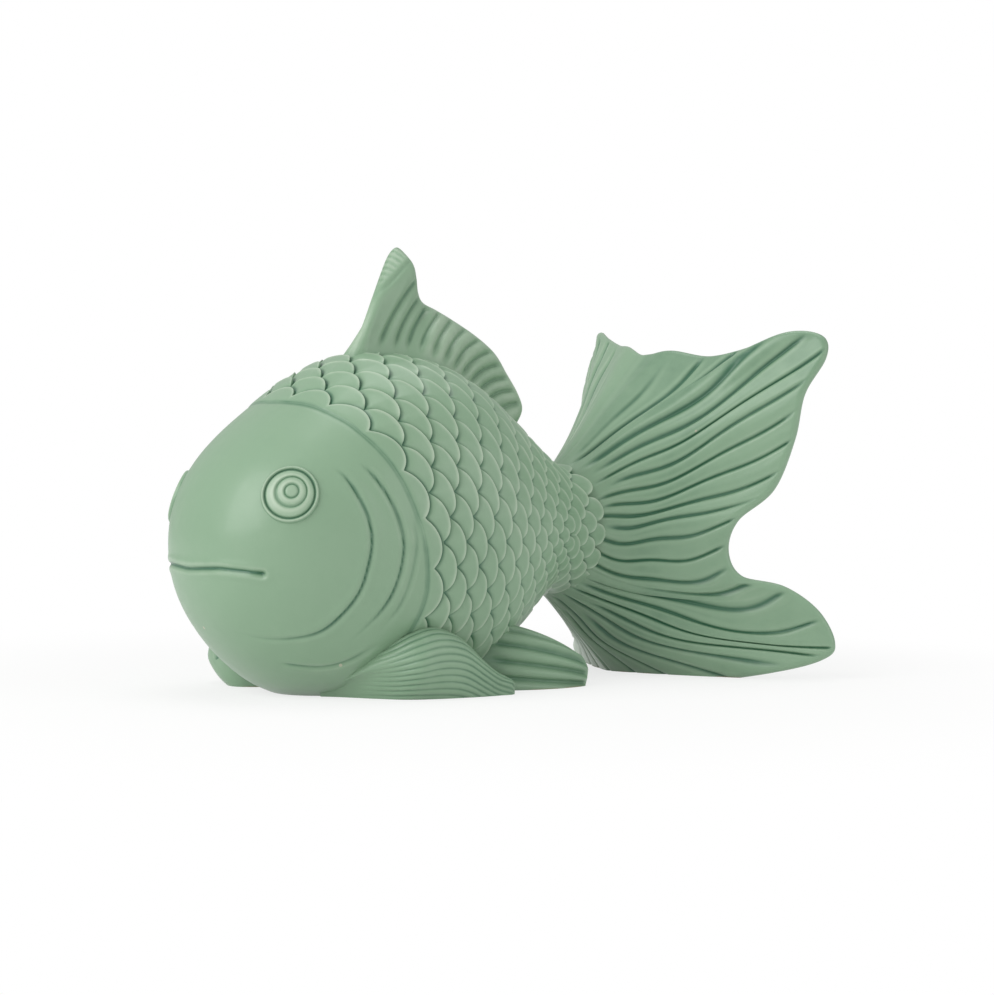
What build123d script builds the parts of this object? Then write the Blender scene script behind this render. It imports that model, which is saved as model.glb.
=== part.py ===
from build123d import *
import os
from math import cos, pi, sin

# Glazed ceramic fish figurine, millimetres.
# Nose towards -X, the fish's left side towards -Y, +Z up.
# The origin is on the floor, on the flat foot under the belly.

# Body: one hollow casting with a flat foot
body_length = 216
body_width = 128
body_height = 147.5
nose_reach = 104
wall = 5
vent_diameter = 9
vent_forward = 32

# Scales: how deep the skin dips between them
scale_depth = 1.4

# Eyes: raised ringed discs
eye_diameter = 25
eye_rise = 2.4
eye_root = 7

# Dorsal fin
dorsal_length = 104
dorsal_rise = 50
dorsal_sway = 8
dorsal_thickness = 7
dorsal_root = 7

# Tail fins
tail_length = 84
tail_span = 192
tail_height = 160
tail_thickness = 6
tail_flute = 0.7

# Pectoral fins
pectoral_length = 82
pectoral_height = 31

# Pelvic fins
pelvic_length = 51
pelvic_height = 33
pelvic_thickness = 9

# How far a fin's foot runs below the floor before it is cut flat
floor_overrun = 4

# The body's cross sections are superellipses of this power
section_power = 2.15
section_points = 72

# Each station: place along the body's length, half width, top, widest line and bottom
station_shares = [
    (0.000, 0.085, 0.465, 0.42, 0.375),
    (0.004, 0.215, 0.512, 0.43, 0.340),
    (0.014, 0.355, 0.568, 0.44, 0.290),
    (0.034, 0.495, 0.638, 0.45, 0.225),
    (0.065, 0.625, 0.703, 0.47, 0.158),
    (0.112, 0.760, 0.773, 0.49, 0.085),
    (0.176, 0.870, 0.848, 0.50, 0.018),
    (0.260, 0.960, 0.930, 0.50, -0.022),
    (0.366, 1.000, 0.997, 0.50, -0.040),
    (0.482, 0.985, 1.000, 0.50, -0.040),
    (0.597, 0.905, 0.952, 0.49, -0.005),
    (0.704, 0.755, 0.845, 0.48, 0.125),
    (0.796, 0.590, 0.735, 0.475, 0.250),
    (0.875, 0.450, 0.665, 0.468, 0.266),
    (0.944, 0.360, 0.655, 0.465, 0.275),
    (1.000, 0.250, 0.600, 0.465, 0.330),
]
hollow_first_station = 2

# Scales in staggered columns. Each row: turn down from the back as a share of half a turn,
# then where the scales start behind the head and where they end along the body
scale_field_shares = [
    (0.00, 0.200, 0.850),
    (0.20, 0.230, 0.870),
    (0.40, 0.310, 0.890),
    (0.60, 0.375, 0.890),
    (1.00, 0.375, 0.890),
]
# Turns at which the scales begin, are full, begin to fade and are gone
scale_turn_shares = (0.08, 0.16, 0.56, 0.64)
scale_columns = 10
scale_rows = 9
scale_first_station = 6
scale_last_station = 14
scale_station_steps = 3

# Eye disc profile: distance from the axis and height above the skin
eye_profile_shares = [
    (1.00, 0.00),
    (0.97, 0.45),
    (0.90, 0.40),
    (0.85, 0.15),
    (0.78, 0.60),
    (0.64, 0.75),
    (0.56, 0.45),
    (0.48, 0.85),
    (0.36, 0.90),
    (0.29, 0.60),
    (0.20, 1.00),
    (0.00, 1.00),
]
eye_place_shares = (0.106, 0.60)

# Dorsal fin's free edge: along its length, sideways sway, height above the back's top
dorsal_start_share = 0.333
dorsal_root_share = 0.88
dorsal_edge_shares = [
    (0.325, 0.6, 0.99),
    (0.395, 0.5, 0.79),
    (0.450, 0.4, 0.51),
    (0.560, 0.8, 0.43),
    (0.660, 0.9, 0.33),
    (0.770, 0.6, 0.19),
    (0.855, 0.3, 0.04),
    (0.910, 0.1, -0.14),
    (0.965, 0.0, -0.32),
    (0.990, 0.0, -0.47),
    (0.955, 0.0, -0.63),
]

# Tail fin's free edge from the top ridge to the bottom one: back from the root, out, up
tail_root_share = 0.935
tail_edge_shares = [
    (0.55, -0.08, 0.930),
    (0.56, 0.05, 0.935),
    (0.59, 0.18, 0.945),
    (0.69, 0.37, 0.928),
    (0.79, 0.58, 0.955),
    (0.89, 0.76, 1.000),
    (0.99, 0.88, 0.985),
    (0.97, 0.92, 0.925),
    (0.87, 0.87, 0.820),
    (0.83, 0.84, 0.690),
    (0.74, 0.78, 0.545),
    (0.59, 0.67, 0.455),
    (0.56, 0.63, 0.367),
    (0.61, 0.68, 0.295),
    (0.78, 0.82, 0.266),
    (0.90, 0.94, 0.200),
    (0.96, 1.00, 0.112),
    (0.92, 0.97, 0.062),
    (0.73, 0.78, 0.018),
    (0.52, 0.38, -0.020),
    (0.37, 0.04, -0.020),
    (0.33, -0.08, -0.020),
]
tail_root_ring_shares = (0.60, 0.80)
tail_ring_turn_share = 1.16
tail_root_lean_share = 0.10
tail_flare_share = 0.36

# Pectoral fin's sections from front to back: along its length, inner wall out,
# neck up, crest out, crest up and foot out
pectoral_start_share = 0.195
pectoral_section_shares = [
    (0.00, 0.56, 0.44, 1.00, 0.54, 0.62),
    (0.09, 0.50, 0.52, 0.99, 0.64, 0.62),
    (0.20, 0.46, 0.62, 0.99, 0.76, 0.64),
    (0.36, 0.48, 0.80, 1.00, 0.94, 0.73),
    (0.55, 0.50, 0.88, 1.01, 1.03, 0.83),
    (0.70, 0.50, 0.74, 1.01, 0.88, 0.89),
    (0.83, 0.56, 0.46, 1.00, 0.56, 0.92),
    (0.93, 0.70, 0.28, 0.98, 0.34, 0.94),
    (1.00, 0.80, 0.20, 0.98, 0.26, 0.94),
]
pectoral_crest_width_share = 0.14
pectoral_flank_shares = (0.80, 0.40)

# Pelvic fin from top to bottom: along its length, then out and up
pelvic_start_share = 0.58
pelvic_root_shares = [
    (0.00, 0.50, 0.95),
    (0.00, 0.54, 0.62),
    (0.00, 0.58, 0.30),
    (0.00, 0.62, 0),
]
pelvic_middle_shares = [
    (0.48, 0.69, 0.76),
    (0.50, 0.75, 0.50),
    (0.50, 0.76, 0.25),
    (0.50, 0.73, 0),
]
pelvic_edge_shares = [
    (0.95, 0.70, 0.34),
    (1.00, 0.72, 0.23),
    (1.00, 0.72, 0.11),
    (0.98, 0.70, 0),
]

# Steps from a fin's root to its edge
fin_step_shares = (0, 0.25, 0.5, 0.75, 1)
fin_row_steps = 2

# Size of a block that covers the whole figure, used to cut it at planes
block_size = 2 * (body_length + tail_length + tail_height)


def body_x(length_share):
    """X of a share of the body's length, measured from the nose."""
    return length_share * body_length - nose_reach


def station_at(length_share):
    """The station's five shares at any place along the body."""
    for low, high in zip(station_shares, station_shares[1:]):
        if length_share <= high[0]:
            part = (length_share - low[0]) / (high[0] - low[0])
            return [a + part * (b - a) for a, b in zip(low, high)]
    return list(station_shares[-1])


def bend(before, start, end, after, part):
    """A value on the smooth curve through four, part of the way between the middle two."""
    swing = before * 2 - start * 5 + end * 4 - after
    twist = start * 3 - before - end * 3 + after
    return start + ((end - before) * part + swing * part**2 + twist * part**3) / 2


def station_rows():
    """The stations, closer together where the body has scales."""
    last = len(station_shares) - 1
    rows = []
    for index in range(last):
        scaled = scale_first_station <= index <= scale_last_station
        steps = scale_station_steps if scaled else 1
        near = [station_shares[min(max(index + move, 0), last)] for move in (-1, 0, 1, 2)]
        for step in range(steps):
            rows.append([bend(*values, step / steps) for values in zip(*near)])
    return rows + [list(station_shares[-1])]


def ramp(low, high, value):
    """Rises smoothly from 0 at low to 1 at high."""
    part = min(max((value - low) / (high - low), 0), 1)
    return part * part * (3 - 2 * part)


def scale_dip(length_share, turn_share):
    """How deep the skin dips between staggered scales."""
    for low, high in zip(scale_field_shares, scale_field_shares[1:]):
        if turn_share <= high[0]:
            break
    part = (turn_share - low[0]) / (high[0] - low[0])
    start = low[1] + part * (high[1] - low[1])
    end = low[2] + part * (high[2] - low[2])
    column = scale_columns * (length_share - start) / (end - start)
    top, full, fall, foot = scale_turn_shares
    field = ramp(top, full, turn_share) * ramp(-foot, -fall, -turn_share)
    field *= ramp(0, 1 / 2, column) * ramp(0, 1 / 2, scale_columns - column)
    return scale_depth * field * (1 - cos(pi * column) * cos(2 * pi * scale_rows * turn_share)) / 2


def section_wire(station, x, inset, scaled):
    """One closed cross section of the body, drawn in by inset."""
    half_width = station[1] * body_width / 2 - inset
    widest = station[3] * body_height
    rise = station[2] * body_height - widest - inset
    drop = widest - station[4] * body_height - inset
    points = []
    for step in range(section_points):
        angle = 2 * pi * step / section_points
        across = abs(cos(angle)) ** (2 / section_power)
        up = abs(sin(angle)) ** (2 / section_power)
        y = half_width * across * (1 if cos(angle) >= 0 else -1)
        z = widest + (rise * up if sin(angle) >= 0 else -drop * up)
        if scaled:
            turn = abs((angle + pi / 2) % (2 * pi) - pi) / pi
            dip = scale_dip(station[0], turn)
            y -= dip * cos(angle)
            z -= dip * sin(angle)
        points.append((x, y, z))
    marks = [step / section_points for step in range(section_points + 1)]
    return Wire([Edge.make_spline(points, periodic=True, parameters=marks)])


def above(height):
    """Everything above a height."""
    return Pos(0, 0, height + block_size / 2) * Box(block_size, block_size, block_size)


def beside(side):
    """Everything on one side of the mid plane: -1 is the fish's left."""
    return Pos(0, side * block_size / 2, 0) * Box(block_size, block_size, block_size)


def body_outside():
    """The body's outer shape as one solid, cut flat at the floor."""
    wires = [section_wire(row, body_x(row[0]), 0, True) for row in station_rows()]
    return Solid.make_loft(wires) & above(0)


def body_hollow():
    """The space inside the body, a wall's thickness in from the skin."""
    rows = station_shares[hollow_first_station:]
    first, last = rows[0][0], rows[-1][0]
    start, end = body_x(first) + wall, body_x(last) - wall
    wires = []
    for row in rows:
        x = start + (row[0] - first) / (last - first) * (end - start)
        wires.append(section_wire(row, x, wall, False))
    return Solid.make_loft(wires) & above(wall)


def skin_half_width(length_share, height_share):
    """Half width of the body at a height, as a share of the body's height."""
    _, half, top, widest, bottom = station_at(length_share)
    reach = top - widest if height_share >= widest else widest - bottom
    fall = min(abs(height_share - widest) / reach, 1) ** section_power
    return half * body_width / 2 * (1 - fall) ** (1 / section_power)


def skin_point(length_share, height_share, side):
    """A point of the skin on one side."""
    y = side * skin_half_width(length_share, height_share)
    return Vector(body_x(length_share), y, height_share * body_height)


def body_shell(outside):
    """The hollow casting with its vent hole in the foot."""
    vent = Pos(-vent_forward, 0, wall / 2) * Cylinder(vent_diameter / 2, 2 * wall)
    return outside - body_hollow() - vent


def eye_disc(outside, side):
    """An eye: a turned disc with rings, seated on the skin."""
    along, up = eye_place_shares
    step_share = eye_diameter / body_length / 2
    tangent = skin_point(along + step_share, up, side) - skin_point(along - step_share, up, side)
    rising = skin_point(along, up + step_share, side) - skin_point(along, up - step_share, side)
    seat = Plane(skin_point(along, up, side), x_dir=tangent, z_dir=rising.cross(tangent) * side)
    profile = [(0, -eye_root), (eye_diameter / 2, -eye_root)]
    for out, rise in eye_profile_shares:
        profile.append((out * eye_diameter / 2, rise * eye_rise))
    face = make_face(Polyline(*[(r, 0, h) for r, h in profile], close=True))
    return seat * revolve(face, Axis.Z) - outside


def smooth_row(points):
    """More points on a smooth curve through a row of points."""
    ends = [points[0] * 2 - points[1]] + points + [points[-1] * 2 - points[-2]]
    row = []
    for near in zip(ends, ends[1:], ends[2:], ends[3:]):
        for step in range(fin_row_steps):
            row.append(bend(*near, step / fin_row_steps))
    return row + [points[-1]]


def fin_point(rows, index, step):
    """Point of the sheet through a fin's three rows, at a share of the way to its edge."""
    weights = ((1 - step) * (1 - 2 * step), 4 * step * (1 - step), step * (2 * step - 1))
    return sum((row[index] * weight for row, weight in zip(rows, weights)), Vector())


def fin_normal(rows, index, step):
    """Direction square to a fin's sheet."""
    before, after = max(index - 1, 0), min(index + 1, len(rows[0]) - 1)
    along = fin_point(rows, after, step) - fin_point(rows, before, step)
    weights = (4 * step - 3, 4 - 8 * step, 4 * step - 1)
    outward = sum((row[index] * weight for row, weight in zip(rows, weights)), Vector())
    return along.cross(outward).normalized()


def fin_skin(rows, thickness, flute, face):
    """One face of a fin: flutes that deepen from the root to the edge. The back face is -1."""
    ribs = []
    for index in range(len(rows[0])):
        points = []
        for step in fin_step_shares:
            lift = thickness / 2 + flute * step * (-1) ** index
            points.append(fin_point(rows, index, step) + fin_normal(rows, index, step) * face * lift)
        ribs.append(Wire([Edge.make_spline(points)]))
    return Shell.make_loft(ribs).face()


def fin(root, middle, edge, thickness, flute):
    """A fin about the sheet through three rows of points, smooth where the flute is 0."""
    rows = [smooth_row(root), smooth_row(middle), smooth_row(edge)]
    front = fin_skin(rows, thickness, flute, 1)
    back = fin_skin(rows, thickness, flute, -1)
    rims = [Face.make_surface_from_curves(*pair) for pair in zip(front.edges(), back.edges())]
    return Solid(Shell([front, back] + rims))


def dorsal_fin(outside):
    """The fin along the back, with its tall front lobe."""
    start = body_x(dorsal_start_share)
    last = len(dorsal_edge_shares) - 1
    root, middle, edge = [], [], []
    for index, (along, sway, up) in enumerate(dorsal_edge_shares):
        top = Vector(start + along * dorsal_length, sway * dorsal_sway, body_height + up * dorsal_rise)
        x = start + index / last * dorsal_root_share * dorsal_length
        back = station_at((x + nose_reach) / body_length)[2] * body_height
        foot = Vector(x, 0, back - dorsal_root)
        root.append(foot)
        middle.append((foot + top) / 2 - Vector(0, sway * dorsal_sway, 0))
        edge.append(top)
    return fin(root, middle, edge, dorsal_thickness, 0) - outside


def tail_fin(outside, side):
    """One half of the tail, which meets the other half on the mid plane."""
    root_x = body_x(tail_root_share)
    _, half, top, widest, bottom = station_at(tail_root_share)
    ring_y, ring_z = tail_root_ring_shares
    last = len(tail_edge_shares) - 1
    root, middle, edge = [], [], []
    for index, (back, out, up) in enumerate(tail_edge_shares):
        angle = tail_ring_turn_share * pi * (index / last - 1 / 2)
        centre = (top + bottom) / 2 * body_height
        reach = (top - bottom) / 2 * body_height
        foot = Vector(
            root_x - tail_root_lean_share * tail_length * (1 + sin(angle)),
            side * ring_y * half * body_width / 2 * cos(angle),
            centre - ring_z * reach * sin(angle),
        )
        tip = Vector(root_x + back * tail_length, side * out * tail_span / 2, up * tail_height)
        half_way = (foot + tip) / 2
        flared = foot.Y + tail_flare_share * (tip.Y - foot.Y)
        root.append(foot)
        middle.append(Vector(half_way.X, flared, half_way.Z))
        edge.append(tip)
    panel = fin(root, middle, edge, tail_thickness, tail_flute) & above(0) & beside(side)
    return panel - outside


def side_row(shares, side, start_share, length, height):
    """A row of a side fin's points, out by shares of the body's half width."""
    start = body_x(start_share)
    row = []
    for along, out, up in shares:
        drop = floor_overrun if up == 0 else 0
        row.append(Vector(start + along * length, side * out * body_width / 2, up * height - drop))
    return row


def pectoral_section(x, half_width, inner, neck, crest, top, foot):
    """One closed cross section of a front fin, from its neck over the crest to its foot."""
    upper, lower = pectoral_flank_shares
    skin = [
        (x, inner * half_width, neck * pectoral_height),
        (x, (crest - pectoral_crest_width_share) * half_width, top * pectoral_height),
        (x, crest * half_width, upper * top * pectoral_height),
        (x, crest * half_width, lower * top * pectoral_height),
        (x, foot * half_width, -floor_overrun),
    ]
    corner = (x, inner * half_width, -floor_overrun)
    under = [Edge.make_line(skin[-1], corner), Edge.make_line(corner, skin[0])]
    return Wire([Edge.make_spline(skin)] + under)


def pectoral_fin(outside, side):
    """A front fin: a wave-shaped lobe that stands on the floor against the belly."""
    wires = []
    for along, *section in pectoral_section_shares:
        x = body_x(pectoral_start_share) + along * pectoral_length
        wires.append(pectoral_section(x, side * body_width / 2, *section))
    return (Solid.make_loft(wires) & above(0)) - outside


def pelvic_fin(outside, side):
    """A rear fin, which rests its lower edge on the floor."""
    rows = (pelvic_root_shares, pelvic_middle_shares, pelvic_edge_shares)
    sizes = (side, pelvic_start_share, pelvic_length, pelvic_height)
    lines = [side_row(shares, *sizes) for shares in rows]
    return (fin(*lines, pelvic_thickness, 0) & above(0)) - outside


def build():
    """Every piece by name, with the paired ones made once for each side."""
    outside = body_outside()
    pieces = {"body_shell": body_shell(outside), "dorsal_fin": dorsal_fin(outside)}
    paired = {"eye": eye_disc, "tail_fin": tail_fin, "pectoral_fin": pectoral_fin, "pelvic_fin": pelvic_fin}
    for name, make in paired.items():
        for side_name, side in (("left", -1), ("right", 1)):
            pieces[side_name + "_" + name] = make(outside, side)
    return pieces


os.makedirs("parts", exist_ok=True)
for node, piece in build().items():
    export_step(piece, "parts/" + node + ".step")
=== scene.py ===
import math

import bpy
import numpy as np
from bpy.props import FloatProperty, FloatVectorProperty, IntProperty, PointerProperty
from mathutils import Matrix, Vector


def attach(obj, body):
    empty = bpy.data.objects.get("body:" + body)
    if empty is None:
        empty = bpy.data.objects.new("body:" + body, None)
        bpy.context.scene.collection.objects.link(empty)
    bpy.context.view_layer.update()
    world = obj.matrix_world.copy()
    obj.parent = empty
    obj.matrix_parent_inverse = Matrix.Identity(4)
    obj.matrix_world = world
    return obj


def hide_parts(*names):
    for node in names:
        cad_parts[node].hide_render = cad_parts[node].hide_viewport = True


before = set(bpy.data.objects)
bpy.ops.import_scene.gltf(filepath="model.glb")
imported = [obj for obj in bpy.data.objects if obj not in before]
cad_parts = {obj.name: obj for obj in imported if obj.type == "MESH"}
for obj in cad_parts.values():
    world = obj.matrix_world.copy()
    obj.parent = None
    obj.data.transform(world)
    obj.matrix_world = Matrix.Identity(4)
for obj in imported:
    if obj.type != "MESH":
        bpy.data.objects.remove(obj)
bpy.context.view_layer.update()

bl_info = {
    "name": "Celadon Fish",
    "version": (1, 0, 0),
    "blender": (4, 5, 0),
    "location": "3D View > Sidebar > Celadon Fish",
    "description": "Models a glazed ceramic goldfish with carved scales and fluted fins",
    "category": "Object",
}

MM = 0.001
MERGE_GAP = 0.000001
FIN_MERGE_GAP = 0.00002
SMOOTH_ANGLE = 50
FLOOR_CUT = ((0, 0, 0), (0, 0, -1))
# A point inside the body, in millimetres, to which the hidden ends of head and flanks close.
BODY_CORE = (-10.0, 0.0, 74.0)

# Body stations from nose to tail: length share, half width share, and top, widest and bottom height shares.
STATION_SHARES = (
    (-0.0008, 0.000, 0.420, 0.420, 0.420),
    (0.000, 0.085, 0.465, 0.420, 0.375),
    (0.004, 0.215, 0.512, 0.430, 0.340),
    (0.014, 0.355, 0.568, 0.440, 0.290),
    (0.034, 0.495, 0.638, 0.450, 0.225),
    (0.065, 0.625, 0.703, 0.470, 0.158),
    (0.112, 0.760, 0.773, 0.490, 0.085),
    (0.176, 0.870, 0.848, 0.500, 0.018),
    (0.260, 0.960, 0.930, 0.500, -0.022),
    (0.366, 1.000, 0.997, 0.500, -0.040),
    (0.482, 0.985, 1.000, 0.500, -0.040),
    (0.597, 0.905, 0.952, 0.490, -0.005),
    (0.704, 0.755, 0.845, 0.480, 0.125),
    (0.796, 0.590, 0.735, 0.475, 0.250),
    (0.875, 0.450, 0.665, 0.468, 0.266),
    (0.944, 0.360, 0.655, 0.465, 0.275),
    (1.000, 0.250, 0.600, 0.465, 0.330),
)
SECTION_POWER = 2.15

# Where the smooth head ends and where the last scales end: degrees round from the back, X in millimetres.
HEAD_EDGE = (
    (0, -63.5), (14, -61.7), (36, -55.7), (55, -46.9), (71, -37.2), (85, -30.0),
    (96, -24.2), (108, -22.2), (116, -24.0), (126, -28.5), (140, -34.0), (158, -40.0), (180, -44.0),
)
SCALE_END = ((0, 87.0), (45, 93.0), (85, 99.0), (120, 96.0), (180, 88.0))

# Lines carved in the near cheek, in millimetres.
GILL_INNER = (
    (-63.6, -49.6, 101.5), (-58.6, -55.0, 95.3), (-54.7, -58.5, 87.6), (-51.0, -60.6, 77.9),
    (-49.7, -60.9, 68.3), (-51.0, -59.7, 57.8),
    (-53.6, -57.0, 47.3), (-59.0, -52.3, 38.0), (-66.2, -45.6, 30.3), (-76.9, -36.5, 27.2),
    (-87.7, -24.2, 28.1), (-94.3, -14.5, 32.1),
)
GILL_MIDDLE = (
    (-53.1, -54.0, 102.8), (-47.5, -58.2, 96.7), (-41.6, -61.6, 87.3), (-37.5, -63.0, 77.7),
    (-35.1, -63.2, 67.9),
    (-36.0, -62.1, 56.5), (-38.9, -59.7, 46.0), (-43.3, -56.5, 37.9), (-48.9, -52.4, 31.1),
    (-55.9, -45.6, 23.0),
)
GILL_OUTER = (
    (-31.2, -63.4, 81.0), (-28.9, -63.8, 69.0), (-30.2, -62.6, 56.4), (-33.0, -60.0, 44.9),
    (-37.0, -56.9, 36.5), (-43.2, -52.2, 28.3),
)
CHIN_LINE = (
    (-75.7, -26.2, 16.6), (-67.9, -32.1, 14.9), (-59.8, -36.7, 14.4), (-51.8, -42.1, 16.6),
    (-45.0, -47.4, 20.9), (-37.9, -52.0, 26.4),
)
MOUTH_LINE = (
    (-104.0, 0.0, 56.3), (-103.9, -3.0, 56.35), (-103.7, -7.5, 56.6), (-102.6, -15.0, 57.0),
    (-100.8, -22.1, 57.2), (-95.5, -32.2, 56.4), (-90.0, -38.5, 55.3),
)
EYE_CENTRES = {-1: (-80.0, -44.3, 89.0), 1: (-86.0, -39.0, 85.2)}

# Back fin: root along, then the edge's along, sideways sway and rise, in shares of the fin's own sizes.
DORSAL_EDGE = (
    (0.000, 0.275, 0.60, 0.720), (0.020, 0.303, 0.60, 0.844), (0.045, 0.329, 0.60, 0.950),
    (0.065, 0.360, 0.60, 0.986),
    (0.085, 0.397, 0.55, 0.933), (0.120, 0.434, 0.50, 0.840), (0.200, 0.445, 0.45, 0.728),
    (0.280, 0.450, 0.40, 0.594),
    (0.350, 0.476, 0.45, 0.500), (0.420, 0.560, 0.80, 0.430), (0.500, 0.660, 0.90, 0.330),
    (0.580, 0.770, 0.60, 0.190),
    (0.660, 0.855, 0.30, 0.040), (0.750, 0.910, 0.10, -0.140), (0.840, 0.965, 0.00, -0.320),
    (0.930, 0.990, 0.00, -0.470),
    (1.000, 0.955, 0.00, -0.630),
)
# Tail half, from the top ridge to the bottom one: back, out and up, in shares of the tail's own sizes.
TAIL_EDGE = (
    (0.55, -0.08, 0.930), (0.56, 0.05, 0.935), (0.59, 0.18, 0.945), (0.69, 0.37, 0.928), (0.79, 0.58, 0.955),
    (0.89, 0.76, 1.000), (0.99, 0.88, 0.985), (0.97, 0.92, 0.925), (0.87, 0.87, 0.820), (0.83, 0.84, 0.690),
    (0.74, 0.78, 0.545), (0.59, 0.67, 0.455), (0.56, 0.63, 0.367), (0.61, 0.68, 0.295), (0.78, 0.82, 0.266),
    (0.90, 0.94, 0.200), (0.96, 1.00, 0.112), (0.92, 0.97, 0.062), (0.73, 0.78, 0.018), (0.52, 0.38, -0.020),
    (0.37, 0.04, -0.020), (0.33, -0.08, -0.020),
)
# Front fin sections for the left (-1) and right (1) side:
# along, inner wall, neck, crest out, crest up, foot out.
PECTORAL_SECTIONS = {
    -1: (
        (0.13, 0.28, 0.20, 0.48, 0.26, 0.30), (0.19, 0.30, 0.30, 0.60, 0.40, 0.38),
        (0.25, 0.34, 0.44, 0.74, 0.56, 0.48),
        (0.32, 0.40, 0.60, 0.88, 0.72, 0.60), (0.42, 0.46, 0.80, 0.99, 0.92, 0.76),
        (0.55, 0.50, 0.88, 1.01, 1.00, 0.84),
        (0.70, 0.50, 0.74, 1.01, 0.87, 0.89), (0.83, 0.56, 0.46, 1.00, 0.58, 0.92),
        (0.93, 0.66, 0.30, 0.98, 0.38, 0.94),
        (1.00, 0.72, 0.22, 0.98, 0.28, 0.95), (1.06, 0.80, 0.14, 0.98, 0.20, 0.95),
    ),
    1: (
        (-0.03, 0.46, 0.62, 1.02, 0.78, 0.72), (0.07, 0.46, 0.68, 1.03, 0.85, 0.72),
        (0.20, 0.46, 0.72, 1.02, 0.90, 0.72),
        (0.36, 0.48, 0.80, 1.00, 0.96, 0.74), (0.55, 0.50, 0.88, 1.01, 1.03, 0.83),
        (0.70, 0.50, 0.74, 1.01, 0.88, 0.89),
        (0.83, 0.56, 0.46, 1.00, 0.56, 0.92), (0.93, 0.70, 0.28, 0.98, 0.34, 0.94),
        (1.00, 0.80, 0.20, 0.98, 0.26, 0.94),
    ),
}
PELVIC_ROOT = ((0.00, 0.50, 0.95), (0.00, 0.54, 0.62), (0.00, 0.58, 0.30), (0.00, 0.62, -0.12))
PELVIC_MIDDLE = ((0.48, 0.69, 0.76), (0.50, 0.75, 0.50), (0.50, 0.76, 0.25), (0.50, 0.73, -0.12))
PELVIC_EDGE = ((0.95, 0.70, 0.34), (1.00, 0.72, 0.23), (1.00, 0.72, 0.11), (0.98, 0.70, -0.12))

# Camera, in metres and degrees, and lamps: name, place, aim and size in metres.
CAMERA_TARGET = (0.057, 0.0, 0.0835)
CAMERA_TURN = -35
CAMERA_LIFT = 2
CAMERA_REACH = 1.3
LAMPS = (
    ("key_lamp", (-1.55, -0.05, 0.95), (0.0, 0.0, 0.08), 1.4),
    ("top_lamp", (0.15, 0.15, 1.60), (0.05, 0.0, 0.08), 1.0),
    ("side_lamp", (0.75, -1.40, 0.45), (0.05, 0.0, 0.08), 1.2),
)


class FishForm(bpy.types.PropertyGroup):
    body_length: FloatProperty(
        name="Body Length", description="Nose to tail root", default=0.216, unit="LENGTH"
    )
    body_width: FloatProperty(
        name="Body Width", description="Across the flanks", default=0.128, unit="LENGTH"
    )
    body_height: FloatProperty(name="Body Height", description="Floor to back", default=0.1475, unit="LENGTH")
    nose_reach: FloatProperty(
        name="Nose Reach", description="Nose ahead of the origin", default=0.104, unit="LENGTH"
    )
    eye_radius: FloatProperty(
        name="Eye Radius", description="Radius of the ringed eye", default=0.0128, unit="LENGTH"
    )
    dorsal_length: FloatProperty(
        name="Dorsal Length", description="Back fin, front to rear", default=0.104, unit="LENGTH"
    )
    dorsal_rise: FloatProperty(
        name="Dorsal Rise", description="Back fin above the back", default=0.050, unit="LENGTH"
    )
    tail_length: FloatProperty(
        name="Tail Length", description="Tail fin behind its root", default=0.084, unit="LENGTH"
    )
    tail_span: FloatProperty(
        name="Tail Span", description="Across both tail fins", default=0.192, unit="LENGTH"
    )
    tail_height: FloatProperty(
        name="Tail Height", description="Floor to the tail's top lobe", default=0.160, unit="LENGTH"
    )
    pectoral_length: FloatProperty(
        name="Pectoral Length", description="Front fin along the floor", default=0.082, unit="LENGTH"
    )
    pectoral_height: FloatProperty(
        name="Pectoral Height", description="Front fin's crest", default=0.031, unit="LENGTH"
    )
    pelvic_length: FloatProperty(
        name="Pelvic Length", description="Rear fin along the floor", default=0.051, unit="LENGTH"
    )
    pelvic_height: FloatProperty(
        name="Pelvic Height", description="Rear fin's root height", default=0.033, unit="LENGTH"
    )
    scale_columns: IntProperty(
        name="Scale Columns", description="Overlapping columns of scales", default=22, min=4
    )
    scale_rows: IntProperty(
        name="Scale Rows", description="Scales from back to belly on one side", default=10, min=3
    )
    scale_lift: FloatProperty(
        name="Scale Lift", description="Step at a scale's free edge", default=0.0012, unit="LENGTH"
    )


# Glaze colours; the ramp between them also shows painted light on parts of the tail and the back fin.
class FishGlaze(bpy.types.PropertyGroup):
    pale: FloatVectorProperty(
        name="Thin Glaze", description="Colour on rims", subtype="COLOR", size=3,
        default=(0.42, 0.53, 0.40)
    )
    green: FloatVectorProperty(
        name="Glaze", description="Colour of open surfaces", subtype="COLOR", size=3,
        default=(0.232, 0.365, 0.238)
    )
    deep: FloatVectorProperty(
        name="Pooled Glaze", description="Colour in grooves", subtype="COLOR", size=3,
        default=(0.045, 0.145, 0.080)
    )
    clay: FloatVectorProperty(
        name="Bare Clay", description="Colour of the unglazed foot", subtype="COLOR", size=3,
        default=(0.36, 0.20, 0.13)
    )
    roughness: FloatProperty(
        name="Roughness", description="Softness of the gloss", default=0.38, min=0.0, max=1.0
    )


class FishStage(bpy.types.PropertyGroup):
    lens: FloatProperty(name="Lens", description="Focal length in millimetres", default=102.25)
    key_power: FloatProperty(
        name="Key Lamp", description="Power of the large soft lamp", default=19.5, unit="POWER"
    )
    fill_power: FloatProperty(
        name="Top Lamp", description="Power of the lamp overhead", default=6.0, unit="POWER"
    )
    side_power: FloatProperty(
        name="Side Lamp", description="Power of the lamp beside the tail", default=5.0, unit="POWER"
    )
    ambient: FloatProperty(name="Ambient", description="Strength of the white surroundings", default=0.53)


def mm(length):
    """A length in metres, given in millimetres."""
    return length / MM


def form():
    """The scene's sizes of the fish."""
    return bpy.context.scene.fish_form


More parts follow.
